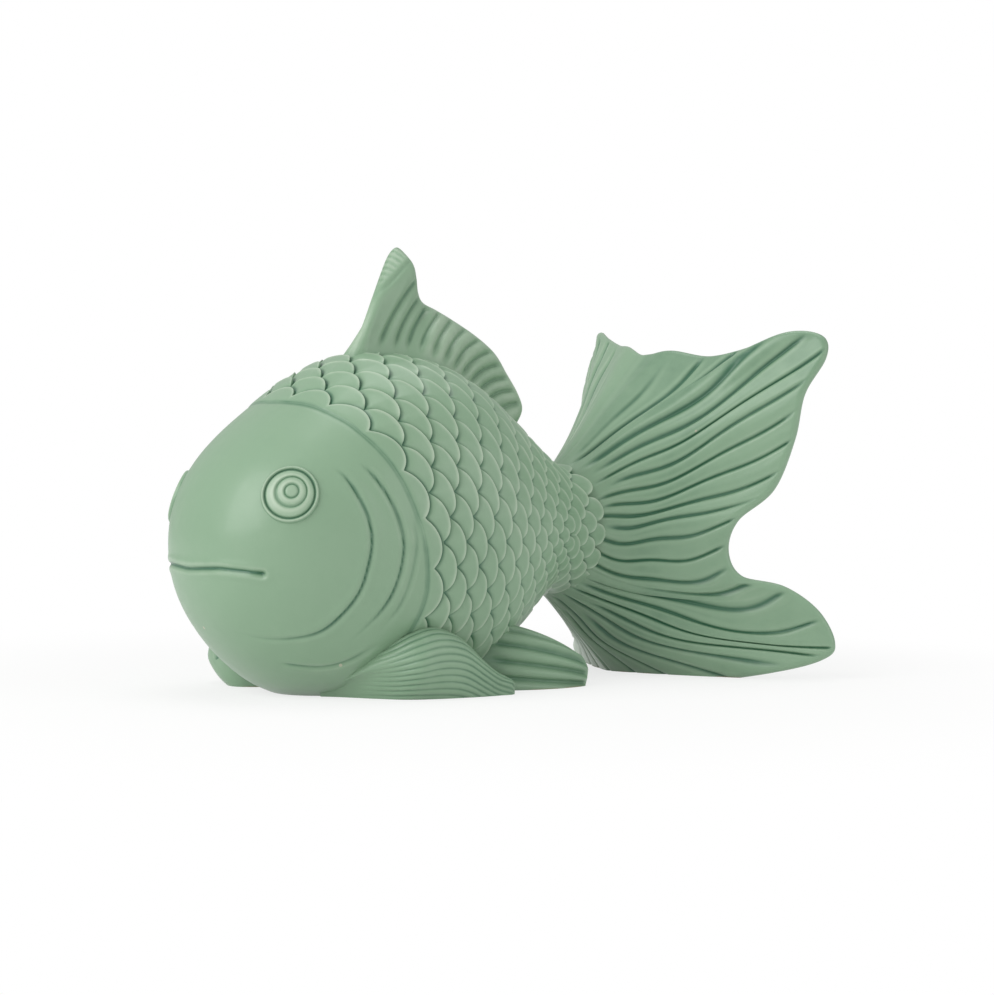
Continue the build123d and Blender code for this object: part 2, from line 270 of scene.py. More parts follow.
def clear_selection():
    """Leaves edit mode and deselects everything."""
    if bpy.context.object and bpy.context.object.mode != "OBJECT":
        bpy.ops.object.mode_set(mode="OBJECT")
    bpy.ops.object.select_all(action="DESELECT")


def smooth_row(rows, place):
    """Smooth curve through the rows at fractional index place."""
    p = np.asarray(rows, float)
    p = np.vstack([2 * p[0] - p[1], p, 2 * p[-1] - p[-2]])
    i = np.clip(np.floor(place).astype(int), 0, len(p) - 4)
    f = (place - i)[..., None]
    a, b, c, d = p[i], p[i + 1], p[i + 2], p[i + 3]
    return 0.5 * (2 * b + (c - a) * f + (2 * a - 5 * b + 4 * c - d) * f**2 + (3 * b - a - 3 * c + d) * f**3)


def smooth_step(low, high, value):
    """Eases from 0 at low to 1 at high."""
    f = np.clip((value - low) / (high - low), 0, 1)
    return f * f * (3 - 2 * f)


def skin(place, turn):
    """Body skin in millimetres at a fractional station and an angle round from the back."""
    f = form()
    row = smooth_row(STATION_SHARES, place)
    height = mm(f.body_height)
    power = 2 / SECTION_POWER
    across = np.sign(np.sin(turn)) * np.abs(np.sin(turn)) ** power
    up = np.abs(np.cos(turn)) ** power
    y = row[..., 1] * mm(f.body_width) / 2 * across
    reach = np.where(np.cos(turn) > 0, row[..., 2] - row[..., 3], row[..., 4] - row[..., 3])
    z = (row[..., 3] + reach * up) * height
    x = row[..., 0] * mm(f.body_length) - mm(f.nose_reach) + 0 * y
    return np.stack([x, y, z], axis=-1)


def place_at_x(x):
    """Fractional station at an X in millimetres."""
    f = form()
    fine = np.linspace(0, len(STATION_SHARES) - 1, 2001)
    return np.interp((x + mm(f.nose_reach)) / mm(f.body_length), smooth_row(STATION_SHARES, fine)[:, 0], fine)


def table_at(table, turn):
    """Value of a table of degrees and values at an angle."""
    rows = np.asarray(table, float)
    return np.interp(np.degrees(np.abs(turn)), rows[:, 0], rows[:, 1])


def soft_table_at(table, turn):
    """table_at, smoothed so that the line has no corners."""
    total = 0
    for step, weight in ((-6, 1), (-3, 2), (0, 3), (3, 2), (6, 1)):
        total = total + weight * table_at(table, np.abs(turn) + math.radians(step))
    return total / 9


def line_distance(points, line):
    """Distance in millimetres from points to a smooth line on the left cheek or its mirror image."""
    rows = np.asarray(line, float)
    fine = smooth_row(rows, np.linspace(0, len(rows) - 1, 24 * (len(rows) - 1) + 1))
    probe = points * (1, 0, 1) - np.abs(points) * (0, 1, 0)
    near = np.all((probe > fine.min(axis=0) - 9) & (probe < fine.max(axis=0) + 9), axis=1)
    close = probe[near]
    best = np.full(len(close), 99.0)
    along = np.zeros(len(close))
    for k in range(len(fine) - 1):
        a, b = fine[k], fine[k + 1]
        share = np.clip(((close - a) @ (b - a)) / max((b - a) @ (b - a), 1e-9), 0, 1)
        gap = np.linalg.norm(close - a - share[:, None] * (b - a), axis=1)
        nearer = gap < best
        best = np.where(nearer, gap, best)
        along = np.where(nearer, (k + share) / (len(fine) - 1), along)
    gaps = np.full(len(points), 99.0)
    places = np.zeros(len(points))
    gaps[near] = best
    places[near] = along
    return gaps, places


def grid_normals(points):
    """Unit normals of a closed tube of points (ring, segment, xyz)."""
    down = np.gradient(points, axis=0)
    across = (np.roll(points, -1, axis=1) - np.roll(points, 1, axis=1)) / 2
    n = np.cross(down, across)
    return n / np.maximum(np.linalg.norm(n, axis=-1, keepdims=True), 1e-9)


def set_points(piece, points):
    """Moves the mesh points to places in millimetres."""
    piece.data.vertices.foreach_set("co", np.ascontiguousarray(points * MM, dtype=np.float32).ravel())
    piece.data.update()


def get_points(piece):
    """The mesh points' places in metres."""
    co = np.zeros(len(piece.data.vertices) * 3, np.float32)
    piece.data.vertices.foreach_get("co", co)
    return co.reshape(-1, 3).astype(float)


def set_glaze_and_painted_light(piece, depth):
    """Stores the depth of the glaze, 0 thin to 1 pooled, at each point; on the tail and the back fin it also
    holds painted light and a painted highlight.
    """
    layer = piece.data.attributes.new("glaze_depth_and_painted_light", "FLOAT", "POINT")
    layer.data.foreach_set("value", np.ascontiguousarray(np.clip(depth, 0, 1), dtype=np.float32))


def tube_start(name, segments, rings):
    """A grid to be rolled into a closed tube, with each point's ring and segment."""
    clear_selection()
    bpy.ops.mesh.primitive_grid_add(x_subdivisions=segments, y_subdivisions=rings, size=2.0)
    piece = bpy.context.object
    piece.name = name
    piece.data.name = name
    co = get_points(piece)
    segment = np.rint((co[:, 0] + 1) / 2 * segments).astype(int) % segments
    ring = np.rint((co[:, 1] + 1) / 2 * rings).astype(int)
    return piece, ring, segment


def sheet_start(name, columns, rows):
    """A grid and its turned copy, to be shaped into the two skins of a fin: point side, column and row."""
    clear_selection()
    bpy.ops.mesh.primitive_grid_add(x_subdivisions=columns, y_subdivisions=rows, size=2.0)
    piece = bpy.context.object
    piece.name = name
    piece.data.name = name
    bpy.ops.object.mode_set(mode="EDIT")
    bpy.ops.mesh.select_all(action="SELECT")
    bpy.ops.mesh.duplicate()
    bpy.ops.mesh.flip_normals()
    bpy.ops.object.mode_set(mode="OBJECT")
    co = get_points(piece)
    column = np.rint((co[:, 0] + 1) / 2 * columns).astype(int)
    row = np.rint((co[:, 1] + 1) / 2 * rows).astype(int)
    side = np.where(np.arange(len(co)) < len(co) // 2, 1.0, -1.0)
    return piece, side, column, row


def close_sheet(piece, gap):
    """Merges the points where the skins meet and turns all faces outwards."""
    bpy.context.view_layer.objects.active = piece
    bpy.ops.object.mode_set(mode="EDIT")
    bpy.ops.mesh.select_all(action="SELECT")
    bpy.ops.mesh.remove_doubles(threshold=gap)
    bpy.ops.mesh.normals_make_consistent(inside=False)
    bpy.ops.object.mode_set(mode="OBJECT")


def cut_flat(piece, point, normal):
    """Cuts the piece by a plane, drops what the normal points to and closes the cut."""
    bpy.context.view_layer.objects.active = piece
    bpy.ops.object.mode_set(mode="EDIT")
    bpy.ops.mesh.select_all(action="SELECT")
    bpy.ops.mesh.bisect(
        plane_co=point, plane_no=normal, use_fill=True, clear_outer=True, clear_inner=False,
        threshold=MERGE_GAP
    )
    bpy.ops.object.mode_set(mode="OBJECT")


def finish_piece(piece, node, material):
    """Smooths the shading, gives the material, parents the piece to the root body and hides its CAD node."""
    clear_selection()
    piece.select_set(True)
    bpy.context.view_layer.objects.active = piece
    bpy.ops.object.shade_smooth_by_angle(angle=math.radians(SMOOTH_ANGLE))
    piece.data.materials.clear()
    piece.data.materials.append(material)
    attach(piece, "root")
    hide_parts(node)


def glaze_and_painted_light_material():
    """Green glaze: pale where thin, dark where it pools, with specks, and bare clay at the foot; the same
    ramp also shows painted light and a painted highlight on parts of the tail and the back fin.
    """
    ready = bpy.data.materials.get("celadon_glaze_and_painted_light")
    if ready:
        return ready
    g = bpy.context.scene.fish_glaze
    mat = bpy.data.materials.new("celadon_glaze_and_painted_light")
    mat.use_nodes = True
    tree = mat.node_tree
    tree.nodes.clear()

    def add(kind, **values):
        node = tree.nodes.new(kind)
        for key, value in values.items():
            setattr(node, key, value)
        return node

    def join(a, b):
        tree.links.new(a, b)

    def math_node(operation, first, second):
        node = add("ShaderNodeMath", operation=operation, use_clamp=False)
        for socket, value in zip(node.inputs, (first, second)):
            if isinstance(value, (int, float)):
                socket.default_value = value
            else:
                join(value, socket)
        return node.outputs[0]

    out = add("ShaderNodeOutputMaterial")
    shader = add("ShaderNodeBsdfPrincipled")
    join(shader.outputs[0], out.inputs["Surface"])
    coords = add("ShaderNodeTexCoord")
    # Per-point glaze depth, which on the tail and the back fin also carries painted light and a painted
    # highlight.
    depth = add("ShaderNodeAttribute", attribute_name="glaze_depth_and_painted_light")

    cloud = add("ShaderNodeTexNoise")
    cloud.inputs["Scale"].default_value = 26.0
    cloud.inputs["Detail"].default_value = 3.0
    join(coords.outputs["Object"], cloud.inputs["Vector"])
    mottle = add("ShaderNodeTexNoise")
    mottle.inputs["Scale"].default_value = 160.0
    mottle.inputs["Detail"].default_value = 4.0
    join(coords.outputs["Object"], mottle.inputs["Vector"])
    drift = math_node("MULTIPLY", math_node("SUBTRACT", cloud.outputs["Fac"], 0.5), 0.22)
    grain = math_node("MULTIPLY", math_node("SUBTRACT", mottle.outputs["Fac"], 0.5), 0.14)
    amount = math_node("ADD", math_node("ADD", depth.outputs["Fac"], drift), grain)

    ramp = add("ShaderNodeValToRGB")
    ramp.color_ramp.interpolation = "EASE"
    stops = ramp.color_ramp.elements
    stops[0].position = 0.05
    stops[0].color = (*g.pale, 1)
    stops[1].position = 0.95
    stops[1].color = (*g.deep, 1)
    middle = stops.new(0.42)
    middle.color = (*g.green, 1)
    join(amount, ramp.inputs["Fac"])

    specks = add("ShaderNodeTexVoronoi", feature="F1")
    specks.inputs["Scale"].default_value = 95.0
    join(coords.outputs["Object"], specks.inputs["Vector"])
    near = math_node("LESS_THAN", specks.outputs["Distance"], 0.07)
    split = add("ShaderNodeSeparateColor")
    join(specks.outputs["Color"], split.inputs[0])
    rare = math_node("GREATER_THAN", split.outputs[0], 0.965)
    speck = math_node("MULTIPLY", math_node("MULTIPLY", near, rare), 0.55)
    speckled = add("ShaderNodeMix", data_type="RGBA")
    join(speck, speckled.inputs["Factor"])
    join(ramp.outputs["Color"], speckled.inputs["A"])
    speckled.inputs["B"].default_value = (0.62, 0.52, 0.42, 1)

    where = add("ShaderNodeSeparateXYZ")
    join(coords.outputs["Object"], where.inputs[0])
    foot_line = math_node(
        "ADD", where.outputs["Z"],
        math_node("MULTIPLY", math_node("SUBTRACT", cloud.outputs["Fac"], 0.5), 0.006)
    )
    bare = add("ShaderNodeMapRange", interpolation_type="SMOOTHSTEP")
    bare.inputs["From Min"].default_value = 0.0012
    bare.inputs["From Max"].default_value = 0.0002
    join(foot_line, bare.inputs["Value"])
    worn = add("ShaderNodeMapRange", interpolation_type="SMOOTHSTEP")
    worn.inputs["From Min"].default_value = 0.52
    worn.inputs["From Max"].default_value = 0.60
    join(cloud.outputs["Fac"], worn.inputs["Value"])
    clay_share = math_node("MULTIPLY", bare.outputs["Result"], worn.outputs["Result"])
    footed = add("ShaderNodeMix", data_type="RGBA")
    join(clay_share, footed.inputs["Factor"])
    join(speckled.outputs["Result"], footed.inputs["A"])
    footed.inputs["B"].default_value = (*g.clay, 1)
    join(footed.outputs["Result"], shader.inputs["Base Color"])

    gloss = add("ShaderNodeMapRange")
    gloss.inputs["To Min"].default_value = g.roughness - 0.05
    gloss.inputs["To Max"].default_value = g.roughness + 0.07
    join(mottle.outputs["Fac"], gloss.inputs["Value"])
    dull = add("ShaderNodeMix", data_type="FLOAT")
    join(clay_share, dull.inputs["Factor"])
    join(gloss.outputs["Result"], dull.inputs["A"])
    dull.inputs["B"].default_value = 0.85
    join(dull.outputs["Result"], shader.inputs["Roughness"])
    shader.inputs["IOR"].default_value = 1.5
    shader.inputs["Coat Weight"].default_value = 0.12
    shader.inputs["Coat Roughness"].default_value = 0.12

    peel = add("ShaderNodeBump")
    peel.inputs["Strength"].default_value = 0.12
    peel.inputs["Distance"].default_value = 0.0006
    join(mottle.outputs["Fac"], peel.inputs["Height"])
    join(peel.outputs["Normal"], shader.inputs["Normal"])
    return mat


def flank_turns(segments, thinning):
    """Angles round the body, closer together on the back and flanks than under the belly."""
    fine = np.linspace(0, math.pi, 721)
    weight = 1 - thinning * smooth_step(math.radians(118), math.radians(140), fine)
    total = np.concatenate([[0], np.cumsum((weight[1:] + weight[:-1]) / 2)])
    share = np.abs((np.arange(segments) + segments // 2) % segments - segments // 2) / (segments / 2)
    turn = np.interp(share, total / total[-1], fine)
    return np.where(np.arange(segments) > segments // 2, -turn, turn)


def meridians(turns):
    """Stations and arc lengths along the skin from the nose, for each angle."""
    fine = np.linspace(0, len(STATION_SHARES) - 1, 901)
    points = skin(fine[:, None] + 0 * turns[None, :], turns[None, :] + 0 * fine[:, None])
    steps = np.linalg.norm(np.diff(points, axis=0), axis=-1)
    return fine, np.vstack([np.zeros(len(turns)), np.cumsum(steps, axis=0)])


def arcs_at(fine, arcs, places):
    """Arc length from the nose at one station for each angle."""
    return np.array([np.interp(places[k], fine, arcs[:, k]) for k in range(arcs.shape[1])])


def skin_normals(place, turn):
    """Unit normals of the body skin, outwards."""
    step = 1e-3
    along = skin(place + step, turn) - skin(place - step, turn)
    round_ = skin(place, turn + step) - skin(place, turn - step)
    n = np.cross(along, round_)
    return n / np.maximum(np.linalg.norm(n, axis=-1, keepdims=True), 1e-12)


def scale_edge(index, row_share):
    """Place of one column's scalloped edge, counted in columns, and its slope along the rows."""
    f = form()
    if index == 0:
        return 0 * row_share, 0 * row_share
    rows = f.scale_rows if index < f.scale_columns - 3 else 0.7 * f.scale_rows
    phase = row_share * rows + 0.5 * (index % 2)
    off = phase - np.floor(phase) - 0.5
    bow = np.sqrt(1 - 2.56 * off**2)
    return index - 0.5 + 0.9 * (bow - 0.6) / 0.4, -0.9 * 2.56 * off / bow / 0.4 * rows


def scale_relief(band, rise, width, lean_front, lean_back):
    """Height of the carved scales in millimetres, and the depth of the glaze on them."""
    f = form()
    from_edge = rise * width * lean_front
    to_edge = (1 - rise) * width * lean_back
    full = smooth_step(0.4, 5.5, width)
    lift = mm(f.scale_lift)
    groove = np.exp(-((from_edge / 1.25) ** 2))
    rim = np.exp(-((to_edge / 1.1) ** 2)) * full
    height = 0.25 + lift * full * rise**1.15 + 0.12 * rim - 0.65 * groove
    height = np.where(band == 0, np.minimum(height, 0.35 + 0.4 * rise), height)
    glaze = 0.43 + 0.52 * groove - 0.22 * rim - 0.06 * rise * full
    return height, glaze


def head_relief(points):
    """Height of the lines carved in the head, and the depth of the glaze on them."""
    height = np.zeros(len(points))
    glaze = np.full(len(points), 0.42)
    for line, width, depth, dark in (
        (GILL_INNER, 0.75, 0.95, 0.46), (GILL_MIDDLE, 0.75, 0.90, 0.44), (GILL_OUTER, 0.90, 0.40, 0.20),
        (CHIN_LINE, 0.80, 0.60, 0.30),
    ):
        gap, along = line_distance(points, line)
        fade = smooth_step(0, 0.14, along) * smooth_step(0, 0.34, 1 - along)
        height -= fade * depth * np.exp(-((gap / width) ** 2))
        height += fade * 0.25 * np.exp(-(((gap - 2.6) / 1.6) ** 2))
        glaze += fade * (dark * np.exp(-((gap / width) ** 2)) - 0.08 * np.exp(-(((gap - 2.0) / 0.9) ** 2)))
    gap, along = line_distance(points, MOUTH_LINE)
    corner = smooth_step(0.88, 1.0, along)
    height -= (0.85 + 1.0 * corner) * np.exp(-((gap / (0.85 + 0.55 * corner)) ** 2))
    height += 0.35 * np.exp(-(((gap - 2.6) / 1.6) ** 2))
    glaze += 0.52 * np.exp(-((gap / 0.9) ** 2)) - 0.12 * np.exp(-(((gap - 2.0) / 1.0) ** 2))
    return height, glaze


def make_head():
    """The smooth head, from the nose to just under the first scales."""
    segments, visible = 470, 140
    rings = visible + 3
    piece, ring, segment = tube_start("head", segments, rings)
    turns = flank_turns(segments, 0.2)
    fine, arcs = meridians(turns)
    edge = arcs_at(fine, arcs, place_at_x(soft_table_at(HEAD_EDGE, turns))) + 2.5
    share = (np.arange(visible + 1) / visible)[:, None]
    along = edge[None, :] * (0.35 * share**1.6 + 0.65 * share)
    places = np.stack([np.interp(along[:, k], arcs[:, k], fine) for k in range(segments)], axis=1)
    points = skin(places, turns[None, :] + 0 * places)
    normals = grid_normals(points)
    normals[0] = (-1, 0, 0)
    flat = points.reshape(-1, 3)
    height, glaze = head_relief(flat)
    height = height.reshape(visible + 1, segments)
    glaze = glaze.reshape(visible + 1, segments)
    margin = edge[None, :] - 2.5 - along
    lip = np.exp(-((margin - 0.4) / 1.0) ** 2)
    height = height - 0.25 * lip
    glaze = glaze + 0.30 * np.exp(-((margin + 0.1) / 0.9) ** 2)
    height[0] = height[1].mean()
    glaze[0] = glaze[1].mean()
    points = points + normals * height[..., None]
    inner = points[-1] - normals[-1] * 8
    pole = np.tile(np.array([BODY_CORE]), (segments, 1))
    halfway = 0.5 * inner + 0.5 * pole
    stack = np.concatenate([points, inner[None], halfway[None], pole[None]])
    glaze = np.concatenate([glaze, np.full((3, segments), 0.5)])
    set_points(piece, stack[ring, segment])
    set_glaze_and_painted_light(piece, glaze[ring, segment])
    close_sheet(piece, MERGE_GAP)
    cut_flat(piece, *FLOOR_CUT)
    return piece


def make_flanks():
    """The scaled body: mesh rings follow the scalloped edges of the scales."""
    f = form()
    bands = f.scale_columns
    rises = np.array([0.0, 0.05, 0.12, 0.25, 0.43, 0.62, 0.80, 0.92, 0.982])
    tails = np.array([0.0, 0.04, 0.10, 0.20, 0.45, 1.0])
    segments, visible = 470, bands * len(rises) + len(tails) - 1
    rings = visible + 6
    piece, ring, segment = tube_start("scaled_body", segments, rings)
    turns = flank_turns(segments, 0.6)
    fine, arcs = meridians(turns)
    start = arcs_at(fine, arcs, place_at_x(soft_table_at(HEAD_EDGE, turns)))
    finish = arcs_at(fine, arcs, place_at_x(soft_table_at(SCALE_END, turns)))
    border = skin(place_at_x(soft_table_at(HEAD_EDGE, turns)), turns)
    half = border[: segments // 2 + 1]
    run = np.concatenate([[0], np.cumsum(np.linalg.norm(np.diff(half, axis=0), axis=1))])
    row_share = np.interp(np.abs(turns), np.abs(turns[: segments // 2 + 1]), run / run[-1])

    knots = np.linspace(0, 1, 201)
    pitch = np.interp(knots, (0, 0.25, 0.5, 0.75, 1), (5.8, 5.6, 5.0, 5.4, 7.0))
    pace = np.concatenate([[0], np.cumsum(1 / pitch[1:])])
    pace = bands * pace / pace[-1]
    knots = np.append(knots, 1.2)
    pace = np.append(pace, pace[-1] + 0.2 / (1 - knots[-3]) * (pace[-1] - pace[-2]))
    edges = [scale_edge(index, row_share) for index in range(bands + 1)]
    columns = []
    for band in range(bands):
        low, high = edges[band][0], edges[band + 1][0]
        columns.append(low[None, :] + rises[:, None] * (high - low)[None, :])
    column = np.concatenate(columns)
    along = start[None, :] + np.interp(column, pace, knots) * (finish - start)[None, :]
    tip = start + np.interp(edges[bands][0], pace, knots) * (finish - start)
    along = np.concatenate([along, tip[None, :] + tails[:, None] * (arcs[-1] - 0.5 - tip)[None, :]])
    places = np.stack([np.interp(along[:, k], arcs[:, k], fine) for k in range(segments)], axis=1)
    points = skin(places, turns[None, :] + 0 * places)
    normals = skin_normals(places, turns[None, :] + 0 * places)

    heights, glazes = [], []
    step = 2 * math.pi / segments
    for band in range(bands):
        rows = slice(band * len(rises), (band + 1) * len(rises))
        here = points[rows]
        across = np.linalg.norm(np.roll(here, -1, axis=1) - np.roll(here, 1, axis=1), axis=-1)
        share_step = np.abs(np.roll(row_share, -1) - np.roll(row_share, 1))
        row_pitch = across / np.maximum(share_step[None, :], 0.2 * step / math.pi)
        low, high = edges[band], edges[band + 1]
        length = np.interp(high[0], pace, knots) - np.interp(low[0], pace, knots)
        width = length * (finish - start)
        column_pitch = width / (high[0] - low[0])
        leans = [
            1 / np.hypot(1, slope[None, :] * column_pitch[None, :] / row_pitch) for _,
            slope in (low, high)
        ]
        height, glaze = scale_relief(
            band, rises[:, None] + 0 * row_pitch, width[None, :] + 0 * row_pitch, *leans
        )
        heights.append(height)
        glazes.append(glaze)
    past = along[-len(tails):] - tip[None, :]
    sink = 1.4 + 2.8 * smooth_step(0.5, 1.1, np.abs(turns))[None, :]
    heights.append(-0.3 - sink * smooth_step(0.0, 2.0, past))
    glazes.append(0.85 - 0.38 * smooth_step(2.0, 9.0, past))
    height = np.concatenate(heights)
    glaze = np.concatenate(glazes)
    points = points + normals * height[..., None]
    inner = points[0] - normals[0] * 7
    lip = points[0] - normals[0] * 1.2
    front = np.tile(np.array([BODY_CORE]), (segments, 1))
    centre = points[-1].mean(axis=0)
    dome = [
        centre + share * (points[-1] - centre) + np.array([bulge, 0, 0])
        for share, bulge in ((0.86, 3.0), (0.50, 5.6), (0.0, 6.6))
    ]
    stack = np.concatenate([front[None], inner[None], lip[None], points, np.stack(dome)])
    glaze = np.concatenate([np.full((3, segments), 0.85), glaze, np.full((3, segments), 0.46)])
    set_points(piece, stack[ring, segment])
    set_glaze_and_painted_light(piece, glaze[ring, segment])
    close_sheet(piece, MERGE_GAP)
    cut_flat(piece, *FLOOR_CUT)
    return piece


def near_skin(centre, side):
    """Station and angle of the skin point closest to a place on the head."""
    target = np.array(centre) * np.array([1, -side, 1])
    places = np.linspace(1, 8, 281)
    turns = np.radians(np.linspace(20, 130, 331)) * side
    points = skin(places[:, None] + 0 * turns[None, :], turns[None, :] + 0 * places[:, None])
    k = np.argmin(np.linalg.norm(points - target, axis=-1))
    i, j = np.unravel_index(k, points.shape[:2])
    return places[i], turns[j]


def make_eye(name, side):
    """A ringed eye: a low domed disc that follows the cheek, with a rim, two rings and a bead."""
    f = form()
    segments, visible = 96, 52
    rings = visible + 3
    piece, ring, segment = tube_start(name, segments, rings)
    place, turn = near_skin(EYE_CENTRES[side], side)
    step = 1e-3

    def at(a, b):
        return skin(np.array([a]), np.array([b]))[0]

    centre = at(place, turn)
    along = (at(place + step, turn) - at(place - step, turn)) / (2 * step)
    round_ = (at(place, turn + step) - at(place, turn - step)) / (2 * step)
    normal = np.cross(round_, along)
    normal = normal / np.linalg.norm(normal)
    if normal[1] * side < 0:
        normal = -normal
    up = np.array([0, 0, 1.0]) - normal[2] * normal
    up = up / np.linalg.norm(up)
    across = np.cross(up, normal)
    radius = mm(f.eye_radius)
    share = np.arange(visible + 1) / visible
    r = radius * share
    theta = 2 * math.pi * np.arange(segments) / segments
    drift = 0.9 * (1 - smooth_step(5.0, 10.4, r))[:, None]
    offset_a = r[:, None] * np.cos(theta)[None, :] - side * drift
    offset_b = r[:, None] * np.sin(theta)[None, :] + drift
    target = centre + offset_a[..., None] * across + offset_b[..., None] * up
    uv = np.stack([place + 0 * offset_a, turn + 0 * offset_a], axis=-1)
    reach = 0 * offset_a
    for _ in range(8):
        now = skin(uv[..., 0], uv[..., 1])
        d_place = (skin(uv[..., 0] + step, uv[..., 1]) - now) / step
        d_turn = (skin(uv[..., 0], uv[..., 1] + step) - now) / step
        miss = target + reach[..., None] * normal - now
        jac = np.stack([d_place, d_turn, -np.broadcast_to(normal, now.shape)], axis=-1)
        change = np.linalg.solve(jac, miss[..., None])[..., 0]
        uv = uv + change[..., :2]
        reach = reach + change[..., 2]
    base = target + reach[..., None] * normal
    edge = radius - r
    dome = 0.8 * np.sqrt(np.clip(1 - (share * 0.94) ** 2, 0, 1))
    rim = 0.55 * np.exp(-((r - 12.0) / 0.95) ** 2)
    profile = 0.55 + dome + rim
    glaze = 0.27 + 0 * r
    for at_r, width, depth, dark in (
        (10.7, 0.52, 0.95, 0.62), (6.6, 0.50, 0.65, 0.44), (3.0, 0.46, 0.65, 0.48)
    ):
        cut = np.exp(-((r - at_r) / width) ** 2)
        profile = profile - depth * cut
        glaze = glaze + dark * cut - 0.12 * np.exp(-((r - at_r - 1.4) / 0.7) ** 2)
    profile = profile * np.clip(1 - (1 - np.minimum(edge / 1.2, 1)) ** 2.2, 0, 1) - 0.35 * (edge < 0.3)
    glaze = glaze + 0.55 * np.exp(-((edge) / 0.5) ** 2)
    points = base + profile[:, None, None] * normal
    sink = base[-1] - 3.0 * normal
    deep = base[-1] - 5.5 * normal
    pole = np.tile((deep.mean(axis=0))[None, :], (segments, 1))
    stack = np.concatenate([points, sink[None], deep[None], pole[None]])
    depth = np.concatenate([np.repeat(glaze[:, None], segments, axis=1), np.full((3, segments), 0.8)])
    set_points(piece, stack[ring, segment])
    set_glaze_and_painted_light(piece, depth[ring, segment])
    close_sheet(piece, MERGE_GAP)
    return piece


def rounded_steps(count, ease):
    """Shares from 0 to 1, closer together near both ends."""
    share = np.arange(count + 1) / count
    return share + ease * np.sin(2 * math.pi * share) / (-2 * math.pi)


def fin_points(root, middle, edge, along, out):
    """Mid surface of a fin through its root, middle and edge rows."""
    a = smooth_row(root, along)
    b = smooth_row(middle, along)
    c = smooth_row(edge, along)
    s = out[..., None]
    return a * (1 - s) * (1 - 2 * s) + b * 4 * s * (1 - s) + c * s * (2 * s - 1)


def make_fin(
    name, rows, rays, per_ray, steps, thickness, relief, wander, ends=(True, True), fold=None, even=0.5,
    soft=1.15
):
    """A fin with two carved skins and a rounded rim, whose mesh follows its own rays."""
    columns = rays * per_ray
    piece, side, column, row = sheet_start(name, columns, steps)
    root, middle, edge = (np.asarray(r, float) for r in rows)
    last = len(root) - 1
    part = np.arange(per_ray) / per_ray
    gather = part + 0.55 * np.sin(2 * math.pi * part) / (2 * math.pi)
    sweep = np.arange(rays)[:, None] + gather[None, :]
    if ends[0]:
        sweep[0] = part**1.7
    if ends[1]:
        sweep[-1] = rays - (1 - part) ** 1.7
    sweep = np.append(sweep.ravel(), rays)
    share = (sweep / rays)[:, None]
    out = (1 - (1 - np.arange(steps + 1) / steps) ** 1.5)[None, :]
    calm = smooth_step(0, 0.14, share) * smooth_step(0, 0.14, 1 - share)
    fine = np.linspace(0, last, 40 * last + 1)
    line = fin_points(root, middle, edge, fine, 0 * fine + even)
    run = np.concatenate([[0], np.cumsum(np.linalg.norm(np.diff(line, axis=0), axis=1))])
    place = np.interp(np.clip(share + wander(share, out) * calm, 0, 1), run / run[-1], fine)
    out = out + 0 * place
    pace = np.interp(share, run / run[-1], np.gradient(fine, run / run[-1]))
    share = place / last

    def sheet(a, s):
        points = fin_points(root, middle, edge, a, s)
        return fold(points) if fold else points

    points = sheet(place, out)
    nudge = 0.01
    before, after = np.clip(place - nudge, 0, last), np.clip(place + nudge, 0, last)
    d_along = (sheet(after, out) - sheet(before, out)) / (after - before)[..., None]
    before, after = np.clip(out - nudge, 0, 1), np.clip(out + nudge, 0, 1)
    d_out = (sheet(place, after) - sheet(place, before)) / (after - before)[..., None]
    normals = np.cross(d_along, d_out)
    normals = normals / np.maximum(np.linalg.norm(normals, axis=-1, keepdims=True), 1e-9)
    square = np.linalg.norm(np.cross(d_along, d_out), axis=-1)
    per_place = square / np.linalg.norm(d_out, axis=-1)
    rim = (1 - out) * square / np.linalg.norm(d_along, axis=-1)
    gaps = [rim]
    if ends[0]:
        gaps.append(place * per_place)
    if ends[1]:
        gaps.append((last - place) * per_place)
    half = thickness(share, out, points) / 2
    shape = 1.0
    for gap in gaps:
        f = np.clip(gap / np.maximum(half * soft, 0.5), 0, 1)
        shape = shape * np.sqrt(np.clip(1 - (1 - f) ** 2, 0, 1))
    rim_gap = np.minimum.reduce(gaps)
    shape = shape * (out > 0)
    ray = sweep[:, None] + 0 * out
    carve, glaze = relief(ray, share, out, per_place * pace / rays, rim_gap, points)
    height = np.maximum(half + carve, 0.25 * half) * shape
    lift = side * height[column, row]
    set_points(piece, points[column, row] + normals[column, row] * lift[:, None])
    set_glaze_and_painted_light(piece, glaze[column, row])
    close_sheet(piece, FIN_MERGE_GAP)
    return piece


def back_height(x):
    """Height of the body's back in millimetres."""
    return skin(place_at_x(x), 0 * x)[..., 2]


def dorsal_rows():
    """Root, middle and edge rows of the back fin."""
    f = form()
    start = 0.333 * mm(f.body_length) - mm(f.nose_reach)
    root = []
    edge = []
    middle = []
    for stem, along, sway, up in DORSAL_EDGE:
        x = start + stem * 0.88 * mm(f.dorsal_length)
        foot = np.array([x, 0.0, float(back_height(np.array([x]))[0]) - 7])
        tip = np.array(
            [start + along * mm(f.dorsal_length), sway * 8, mm(f.body_height) + up * mm(f.dorsal_rise)]
        )
        root.append(foot)
        edge.append(tip)
        middle.append((foot + tip) / 2 - np.array([0, sway * 8, 0]))
    return root, middle, edge


def above_back(points):
    """Height of points above the body's back, in millimetres."""
    return points[..., 2] - back_height(points[..., 0])


def fold_depth(points):
    """How far points lie past the slanting fold in the dorsal's front lobe."""
    return (points[..., 0] + 11) * -0.613 + (points[..., 2] - 172.6) * 0.79


